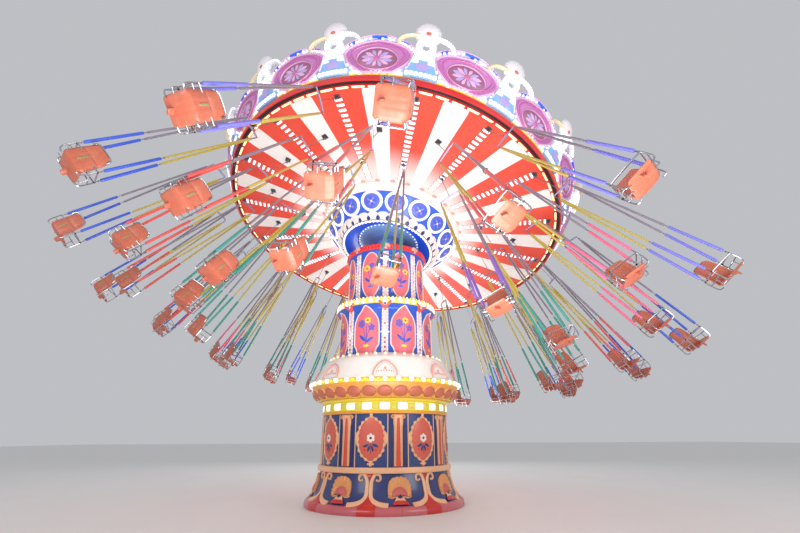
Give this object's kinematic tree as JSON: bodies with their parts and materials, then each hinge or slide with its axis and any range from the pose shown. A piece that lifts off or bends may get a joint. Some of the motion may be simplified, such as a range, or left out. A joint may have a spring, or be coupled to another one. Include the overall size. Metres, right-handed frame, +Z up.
{
  "type": "chair swing ride",
  "caption": "Fairground chair swing ride: chairs on chains hang from a leaning, turning canopy on a telescoping decorated tower.",
  "frame": {"origin": "tower axis at ground level", "axes": "+Z up along the tower, -Y towards the viewer of the picture"},
  "size_m": [15.8436, 15.8798, 10.3655],
  "materials": {
    "plinth_paint": "satin",
    "skirt_paint": "satin",
    "drum_paint": "satin",
    "cornice_paint": "gloss",
    "dome_white": "satin",
    "tier_paint": "satin",
    "steel": "satin",
    "centre_blue": "satin",
    "ceiling_red": "satin",
    "fascia_mauve": "gloss",
    "roof_sheet": "satin",
    "chair_salmon": "gloss"
  },
  "bodies": {
    "root": {"base_plinth": "plinth_paint", "base_skirt": "skirt_paint", "base_drum": "drum_paint", "light_cornice": "cornice_paint", "cornice_dome": "dome_white"},
    "lower_column": {"lower_tier": "tier_paint"},
    "upper_column": {"upper_tier": "tier_paint"},
    "canopy_head": {"tilt_head": "steel"},
    "carousel": {"centre_drum": "centre_blue", "canopy_ceiling": "ceiling_red", "canopy_fascia": "fascia_mauve", "canopy_roof": "roof_sheet"},
    "swing_outer_01_body": {"swing_outer_01": "chair_salmon"},
    "swing_outer_02_body": {"swing_outer_02": "chair_salmon"},
    "swing_outer_03_body": {"swing_outer_03": "chair_salmon"},
    "swing_outer_04_body": {"swing_outer_04": "chair_salmon"},
    "swing_outer_05_body": {"swing_outer_05": "chair_salmon"},
    "swing_outer_06_body": {"swing_outer_06": "chair_salmon"},
    "swing_outer_07_body": {"swing_outer_07": "chair_salmon"},
    "swing_outer_08_body": {"swing_outer_08": "chair_salmon"},
    "swing_outer_09_body": {"swing_outer_09": "chair_salmon"},
    "swing_outer_10_body": {"swing_outer_10": "chair_salmon"},
    "swing_outer_11_body": {"swing_outer_11": "chair_salmon"},
    "swing_outer_12_body": {"swing_outer_12": "chair_salmon"},
    "swing_outer_13_body": {"swing_outer_13": "chair_salmon"},
    "swing_outer_14_body": {"swing_outer_14": "chair_salmon"},
    "swing_outer_15_body": {"swing_outer_15": "chair_salmon"},
    "swing_outer_16_body": {"swing_outer_16": "chair_salmon"},
    "swing_middle_01_body": {"swing_middle_01": "chair_salmon"},
    "swing_middle_02_body": {"swing_middle_02": "chair_salmon"},
    "swing_middle_03_body": {"swing_middle_03": "chair_salmon"},
    "swing_middle_04_body": {"swing_middle_04": "chair_salmon"},
    "swing_middle_05_body": {"swing_middle_05": "chair_salmon"},
    "swing_middle_06_body": {"swing_middle_06": "chair_salmon"},
    "swing_middle_07_body": {"swing_middle_07": "chair_salmon"},
    "swing_middle_08_body": {"swing_middle_08": "chair_salmon"},
    "swing_middle_09_body": {"swing_middle_09": "chair_salmon"},
    "swing_middle_10_body": {"swing_middle_10": "chair_salmon"},
    "swing_middle_11_body": {"swing_middle_11": "chair_salmon"},
    "swing_middle_12_body": {"swing_middle_12": "chair_salmon"},
    "swing_middle_13_body": {"swing_middle_13": "chair_salmon"},
    "swing_middle_14_body": {"swing_middle_14": "chair_salmon"},
    "swing_middle_15_body": {"swing_middle_15": "chair_salmon"},
    "swing_middle_16_body": {"swing_middle_16": "chair_salmon"},
    "swing_inner_01_body": {"swing_inner_01": "chair_salmon"},
    "swing_inner_02_body": {"swing_inner_02": "chair_salmon"},
    "swing_inner_03_body": {"swing_inner_03": "chair_salmon"},
    "swing_inner_04_body": {"swing_inner_04": "chair_salmon"},
    "swing_inner_05_body": {"swing_inner_05": "chair_salmon"},
    "swing_inner_06_body": {"swing_inner_06": "chair_salmon"},
    "swing_inner_07_body": {"swing_inner_07": "chair_salmon"},
    "swing_inner_08_body": {"swing_inner_08": "chair_salmon"},
    "swing_inner_09_body": {"swing_inner_09": "chair_salmon"},
    "swing_inner_10_body": {"swing_inner_10": "chair_salmon"},
    "swing_inner_11_body": {"swing_inner_11": "chair_salmon"},
    "swing_inner_12_body": {"swing_inner_12": "chair_salmon"},
    "swing_inner_13_body": {"swing_inner_13": "chair_salmon"},
    "swing_inner_14_body": {"swing_inner_14": "chair_salmon"},
    "swing_inner_15_body": {"swing_inner_15": "chair_salmon"},
    "swing_inner_16_body": {"swing_inner_16": "chair_salmon"}
  },
  "joints": [
    {"name": "lower_tower_lift", "type": "slide", "parent": "root", "child": "lower_column", "axis": [0, 0, 1], "range_m": [-1, 0]},
    {"name": "upper_tower_lift", "type": "slide", "parent": "lower_column", "child": "upper_column", "axis": [0, 0, 1], "range_m": [-1.15, 0]},
    {"name": "canopy_tilt", "type": "hinge", "parent": "upper_column", "child": "canopy_head", "pos_m": [0, 0, 6.6125], "axis": [-0.8311, 0.556, 0], "range_deg": [-15.86, 0]},
    {"name": "canopy_spin", "type": "hinge", "parent": "canopy_head", "child": "carousel", "pos_m": [0, 0, 6.6125], "axis": [0.1519, 0.227, 0.962], "continuous": true},
    {"name": "outer_swing_01", "type": "hinge", "parent": "carousel", "child": "swing_outer_01_body", "pos_m": [0.76219, -4.2858, 8.3706], "axis": [-0.986, -0.0331, 0.1635], "range_deg": [-32.62, 0]},
    {"name": "outer_swing_02", "type": "hinge", "parent": "carousel", "child": "swing_outer_02_body", "pos_m": [2.4443, -3.76675, 7.98252], "axis": [-0.7287, -0.6318, 0.2642], "range_deg": [-37.52, 0]},
    {"name": "outer_swing_03", "type": "hinge", "parent": "carousel", "child": "swing_outer_03_body", "pos_m": [3.77356, -2.64543, 7.508], "axis": [-0.2223, -0.9405, 0.2571], "range_deg": [-47.82, 0]},
    {"name": "outer_swing_04", "type": "hinge", "parent": "carousel", "child": "swing_outer_04_body", "pos_m": [4.54762, -1.09253, 7.01928], "axis": [0.0259, -0.9738, 0.2257], "range_deg": [-45.32, 0]},
    {"name": "outer_swing_05", "type": "hinge", "parent": "carousel", "child": "swing_outer_05_body", "pos_m": [4.64863, 0.65552, 6.59079], "axis": [0.3862, -0.9095, 0.1537], "range_deg": [-55.02, 0]},
    {"name": "outer_swing_06", "type": "hinge", "parent": "carousel", "child": "swing_outer_06_body", "pos_m": [4.06121, 2.3326, 6.28773], "axis": [0.6728, -0.7367, 0.0676], "range_deg": [-58.52, 0]},
    {"name": "outer_swing_07", "type": "hinge", "parent": "carousel", "child": "swing_outer_07_body", "pos_m": [2.8748, 3.68338, 6.15626], "axis": [0.8727, -0.4877, -0.0227], "range_deg": [-61.02, 0]},
    {"name": "outer_swing_08", "type": "hinge", "parent": "carousel", "child": "swing_outer_08_body", "pos_m": [1.27001, 4.50224, 6.21639], "axis": [0.9762, -0.1867, -0.1101], "range_deg": [-60.52, 0]},
    {"name": "outer_swing_09", "type": "hinge", "parent": "carousel", "child": "swing_outer_09_body", "pos_m": [-0.50885, 4.66449, 6.45896], "axis": [0.9746, 0.1279, -0.1841], "range_deg": [-59.22, 0]},
    {"name": "outer_swing_10", "type": "hinge", "parent": "carousel", "child": "swing_outer_10_body", "pos_m": [-2.19095, 4.14544, 6.84705], "axis": [0.8767, 0.4185, -0.2372], "range_deg": [-54.02, 0]},
    {"name": "outer_swing_11", "type": "hinge", "parent": "carousel", "child": "swing_outer_11_body", "pos_m": [-3.52021, 3.02411, 7.32157], "axis": [0.6829, 0.6795, -0.2682], "range_deg": [-46.02, 0]},
    {"name": "outer_swing_12", "type": "hinge", "parent": "carousel", "child": "swing_outer_12_body", "pos_m": [-4.29427, 1.47122, 7.81028], "axis": [0.4177, 0.8673, -0.2706], "range_deg": [-45.52, 0]},
    {"name": "outer_swing_13", "type": "hinge", "parent": "carousel", "child": "swing_outer_13_body", "pos_m": [-4.39529, -0.27683, 8.23878], "axis": [0.0793, 0.9673, -0.2408], "range_deg": [-38.22, 0]},
    {"name": "outer_swing_14", "type": "hinge", "parent": "carousel", "child": "swing_outer_14_body", "pos_m": [-3.80787, -1.95391, 8.54184], "axis": [-0.2708, 0.9456, -0.1804], "range_deg": [-36.72, 0]},
    {"name": "outer_swing_15", "type": "hinge", "parent": "carousel", "child": "swing_outer_15_body", "pos_m": [-2.62145, -3.3047, 8.6733], "axis": [-0.6601, 0.7477, -0.0722], "range_deg": [-33.12, 0]},
    {"name": "outer_swing_16", "type": "hinge", "parent": "carousel", "child": "swing_outer_16_body", "pos_m": [-1.01666, -4.12355, 8.61318], "axis": [-0.9234, 0.3798, 0.0562], "range_deg": [-31.72, 0]},
    {"name": "middle_swing_01", "type": "hinge", "parent": "carousel", "child": "swing_middle_01_body", "pos_m": [-0.08694, -3.42573, 8.26635], "axis": [-0.9884, 0.0408, 0.1464], "range_deg": [-26.82, 0]},
    {"name": "middle_swing_02", "type": "hinge", "parent": "carousel", "child": "swing_middle_02_body", "pos_m": [1.33373, -3.27927, 8.00747], "axis": [-0.8121, -0.5261, 0.2524], "range_deg": [-30.32, 0]},
    {"name": "middle_swing_03", "type": "hinge", "parent": "carousel", "child": "swing_middle_03_body", "pos_m": [2.56985, -2.60592, 7.65338], "axis": [-0.4154, -0.8685, 0.2706], "range_deg": [-37.42, 0]},
    {"name": "middle_swing_04", "type": "hinge", "parent": "carousel", "child": "swing_middle_04_body", "pos_m": [3.43323, -1.50819, 7.25799], "axis": [-0.0526, -0.97, 0.2372], "range_deg": [-44.52, 0]},
    {"name": "middle_swing_05", "type": "hinge", "parent": "carousel", "child": "swing_middle_05_body", "pos_m": [3.79244, -0.15321, 6.88149], "axis": [0.2749, -0.9446, 0.1795], "range_deg": [-48.62, 0]},
    {"name": "middle_swing_06", "type": "hinge", "parent": "carousel", "child": "swing_middle_06_body", "pos_m": [3.59277, 1.25276, 6.5812], "axis": [0.59, -0.8017, 0.096], "range_deg": [-54.52, 0]},
    {"name": "middle_swing_07", "type": "hinge", "parent": "carousel", "child": "swing_middle_07_body", "pos_m": [2.86464, 2.49565, 6.40283], "axis": [0.8131, -0.5821, 0.009], "range_deg": [-56.52, 0]},
    {"name": "middle_swing_08", "type": "hinge", "parent": "carousel", "child": "swing_middle_08_body", "pos_m": [1.7189, 3.38625, 6.37355], "axis": [0.9424, -0.3267, -0.0717], "range_deg": [-56.42, 0]},
    {"name": "middle_swing_09", "type": "hinge", "parent": "carousel", "child": "swing_middle_09_body", "pos_m": [0.32996, 3.78898, 6.4978], "axis": [0.9884, -0.0272, -0.1496], "range_deg": [-55.42, 0]},
    {"name": "middle_swing_10", "type": "hinge", "parent": "carousel", "child": "swing_middle_10_body", "pos_m": [-1.09071, 3.64252, 6.75668], "axis": [0.9413, 0.2635, -0.2108], "range_deg": [-51.62, 0]},
    {"name": "middle_swing_11", "type": "hinge", "parent": "carousel", "child": "swing_middle_11_body", "pos_m": [-2.32683, 2.96917, 7.11077], "axis": [0.8151, 0.5218, -0.2518], "range_deg": [-46.72, 0]},
    {"name": "middle_swing_12", "type": "hinge", "parent": "carousel", "child": "swing_middle_12_body", "pos_m": [-3.19021, 1.87145, 7.50616], "axis": [0.62, 0.7361, -0.2716], "range_deg": [-39.62, 0]},
    {"name": "middle_swing_13", "type": "hinge", "parent": "carousel", "child": "swing_middle_13_body", "pos_m": [-3.54942, 0.51646, 7.88266], "axis": [0.3324, 0.9049, -0.266], "range_deg": [-38.52, 0]},
    {"name": "middle_swing_14", "type": "hinge", "parent": "carousel", "child": "swing_middle_14_body", "pos_m": [-3.34976, -0.8895, 8.18295], "axis": [-0.0198, 0.9738, -0.2267], "range_deg": [-34.92, 0]},
    {"name": "middle_swing_15", "type": "hinge", "parent": "carousel", "child": "swing_middle_15_body", "pos_m": [-2.62162, -2.1324, 8.36132], "axis": [-0.4433, 0.8855, -0.139], "range_deg": [-29.02, 0]},
    {"name": "middle_swing_16", "type": "hinge", "parent": "carousel", "child": "swing_middle_16_body", "pos_m": [-1.47588, -3.023, 8.3906], "axis": [-0.8209, 0.5711, -0.0052], "range_deg": [-27.12, 0]},
    {"name": "inner_swing_01", "type": "hinge", "parent": "carousel", "child": "swing_inner_01_body", "pos_m": [0.50013, -2.52862, 7.92659], "axis": [-0.9586, -0.2033, 0.1993], "range_deg": [-17.62, 0]},
    {"name": "inner_swing_02", "type": "hinge", "parent": "carousel", "child": "swing_inner_02_body", "pos_m": [1.51595, -2.21517, 7.69222], "axis": [-0.5712, -0.7742, 0.2729], "range_deg": [-21.42, 0]},
    {"name": "inner_swing_03", "type": "hinge", "parent": "carousel", "child": "swing_inner_03_body", "pos_m": [2.31869, -1.538, 7.40566], "axis": [-0.1187, -0.962, 0.2458], "range_deg": [-28.42, 0]},
    {"name": "inner_swing_04", "type": "hinge", "parent": "carousel", "child": "swing_inner_04_body", "pos_m": [2.78614, -0.60021, 7.11053], "axis": [0.2425, -0.9521, 0.1864], "range_deg": [-35.32, 0]},
    {"name": "inner_swing_05", "type": "hinge", "parent": "carousel", "child": "swing_inner_05_body", "pos_m": [2.84714, 0.45543, 6.85176], "axis": [0.5267, -0.8422, 0.1156], "range_deg": [-41.72, 0]},
    {"name": "inner_swing_06", "type": "hinge", "parent": "carousel", "child": "swing_inner_06_body", "pos_m": [2.4924, 1.46821, 6.66875], "axis": [0.7572, -0.6523, 0.0344], "range_deg": [-43.42, 0]},
    {"name": "inner_swing_07", "type": "hinge", "parent": "carousel", "child": "swing_inner_07_body", "pos_m": [1.77593, 2.28394, 6.58935], "axis": [0.8958, -0.4429, -0.0369], "range_deg": [-46.42, 0]},
    {"name": "inner_swing_08", "type": "hinge", "parent": "carousel", "child": "swing_inner_08_body", "pos_m": [0.8068, 2.77845, 6.62566], "axis": [0.9808, -0.1549, -0.1183], "range_deg": [-44.42, 0]},
    {"name": "inner_swing_09", "type": "hinge", "parent": "carousel", "child": "swing_inner_09_body", "pos_m": [-0.26744, 2.87643, 6.77215], "axis": [0.9785, 0.1026, -0.1787], "range_deg": [-42.42, 0]},
    {"name": "inner_swing_10", "type": "hinge", "parent": "carousel", "child": "swing_inner_10_body", "pos_m": [-1.28326, 2.56298, 7.00652], "axis": [0.9145, 0.337, -0.2239], "range_deg": [-38.32, 0]},
    {"name": "inner_swing_11", "type": "hinge", "parent": "carousel", "child": "swing_inner_11_body", "pos_m": [-2.086, 1.88581, 7.29308], "axis": [0.8136, 0.5239, -0.2521], "range_deg": [-33.02, 0]},
    {"name": "inner_swing_12", "type": "hinge", "parent": "carousel", "child": "swing_inner_12_body", "pos_m": [-2.55345, 0.94803, 7.58821], "axis": [0.6497, 0.7105, -0.2703], "range_deg": [-30.62, 0]},
    {"name": "inner_swing_13", "type": "hinge", "parent": "carousel", "child": "swing_inner_13_body", "pos_m": [-2.61445, -0.10762, 7.84698], "axis": [0.312, 0.9125, -0.2646], "range_deg": [-26.72, 0]},
    {"name": "inner_swing_14", "type": "hinge", "parent": "carousel", "child": "swing_inner_14_body", "pos_m": [-2.25971, -1.1204, 8.02999], "axis": [-0.2708, 0.9456, -0.1804], "range_deg": [-21.72, 0]},
    {"name": "inner_swing_15", "type": "hinge", "parent": "carousel", "child": "swing_inner_15_body", "pos_m": [-1.54324, -1.93613, 8.10939], "axis": [-0.7252, 0.6869, -0.0476], "range_deg": [-19.82, 0]},
    {"name": "inner_swing_16", "type": "hinge", "parent": "carousel", "child": "swing_inner_16_body", "pos_m": [-0.57411, -2.43063, 8.07307], "axis": [-0.9599, 0.266, 0.0888], "range_deg": [-19.42, 0]}
  ],
  "couplings": [
    {"joint": "upper_tower_lift", "follows": "lower_tower_lift", "ratio": 1.15},
    {"joint": "canopy_tilt", "follows": "lower_tower_lift", "rad_per_m": 0.27667},
    {"joint": "outer_swing_01", "follows": "lower_tower_lift", "rad_per_m": 0.56898},
    {"joint": "outer_swing_02", "follows": "lower_tower_lift", "rad_per_m": 0.6545},
    {"joint": "outer_swing_03", "follows": "lower_tower_lift", "rad_per_m": 0.83427},
    {"joint": "outer_swing_04", "follows": "lower_tower_lift", "rad_per_m": 0.79063},
    {"joint": "outer_swing_05", "follows": "lower_tower_lift", "rad_per_m": 0.95993},
    {"joint": "outer_swing_06", "follows": "lower_tower_lift", "rad_per_m": 1.021},
    {"joint": "outer_swing_07", "follows": "lower_tower_lift", "rad_per_m": 1.0647},
    {"joint": "outer_swing_08", "follows": "lower_tower_lift", "rad_per_m": 1.0559},
    {"joint": "outer_swing_09", "follows": "lower_tower_lift", "rad_per_m": 1.0332},
    {"joint": "outer_swing_10", "follows": "lower_tower_lift", "rad_per_m": 0.94248},
    {"joint": "outer_swing_11", "follows": "lower_tower_lift", "rad_per_m": 0.80285},
    {"joint": "outer_swing_12", "follows": "lower_tower_lift", "rad_per_m": 0.79412},
    {"joint": "outer_swing_13", "follows": "lower_tower_lift", "rad_per_m": 0.66672},
    {"joint": "outer_swing_14", "follows": "lower_tower_lift", "rad_per_m": 0.64054},
    {"joint": "outer_swing_15", "follows": "lower_tower_lift", "rad_per_m": 0.5777},
    {"joint": "outer_swing_16", "follows": "lower_tower_lift", "rad_per_m": 0.55327},
    {"joint": "middle_swing_01", "follows": "lower_tower_lift", "rad_per_m": 0.46775},
    {"joint": "middle_swing_02", "follows": "lower_tower_lift", "rad_per_m": 0.52884},
    {"joint": "middle_swing_03", "follows": "lower_tower_lift", "rad_per_m": 0.65275},
    {"joint": "middle_swing_04", "follows": "lower_tower_lift", "rad_per_m": 0.77667},
    {"joint": "middle_swing_05", "follows": "lower_tower_lift", "rad_per_m": 0.84823},
    {"joint": "middle_swing_06", "follows": "lower_tower_lift", "rad_per_m": 0.9512},
    {"joint": "middle_swing_07", "follows": "lower_tower_lift", "rad_per_m": 0.98611},
    {"joint": "middle_swing_08", "follows": "lower_tower_lift", "rad_per_m": 0.98437},
    {"joint": "middle_swing_09", "follows": "lower_tower_lift", "rad_per_m": 0.96691},
    {"joint": "middle_swing_10", "follows": "lower_tower_lift", "rad_per_m": 0.90059},
    {"joint": "middle_swing_11", "follows": "lower_tower_lift", "rad_per_m": 0.81507},
    {"joint": "middle_swing_12", "follows": "lower_tower_lift", "rad_per_m": 0.69115},
    {"joint": "middle_swing_13", "follows": "lower_tower_lift", "rad_per_m": 0.67195},
    {"joint": "middle_swing_14", "follows": "lower_tower_lift", "rad_per_m": 0.60912},
    {"joint": "middle_swing_15", "follows": "lower_tower_lift", "rad_per_m": 0.50614},
    {"joint": "middle_swing_16", "follows": "lower_tower_lift", "rad_per_m": 0.47298},
    {"joint": "inner_swing_01", "follows": "lower_tower_lift", "rad_per_m": 0.30718},
    {"joint": "inner_swing_02", "follows": "lower_tower_lift", "rad_per_m": 0.3735},
    {"joint": "inner_swing_03", "follows": "lower_tower_lift", "rad_per_m": 0.49567},
    {"joint": "inner_swing_04", "follows": "lower_tower_lift", "rad_per_m": 0.6161},
    {"joint": "inner_swing_05", "follows": "lower_tower_lift", "rad_per_m": 0.7278},
    {"joint": "inner_swing_06", "follows": "lower_tower_lift", "rad_per_m": 0.75747},
    {"joint": "inner_swing_07", "follows": "lower_tower_lift", "rad_per_m": 0.80983},
    {"joint": "inner_swing_08", "follows": "lower_tower_lift", "rad_per_m": 0.77493},
    {"joint": "inner_swing_09", "follows": "lower_tower_lift", "rad_per_m": 0.74002},
    {"joint": "inner_swing_10", "follows": "lower_tower_lift", "rad_per_m": 0.66846},
    {"joint": "inner_swing_11", "follows": "lower_tower_lift", "rad_per_m": 0.57596},
    {"joint": "inner_swing_12", "follows": "lower_tower_lift", "rad_per_m": 0.53407},
    {"joint": "inner_swing_13", "follows": "lower_tower_lift", "rad_per_m": 0.466},
    {"joint": "inner_swing_14", "follows": "lower_tower_lift", "rad_per_m": 0.37874},
    {"joint": "inner_swing_15", "follows": "lower_tower_lift", "rad_per_m": 0.34558},
    {"joint": "inner_swing_16", "follows": "lower_tower_lift", "rad_per_m": 0.33859}
  ]
}
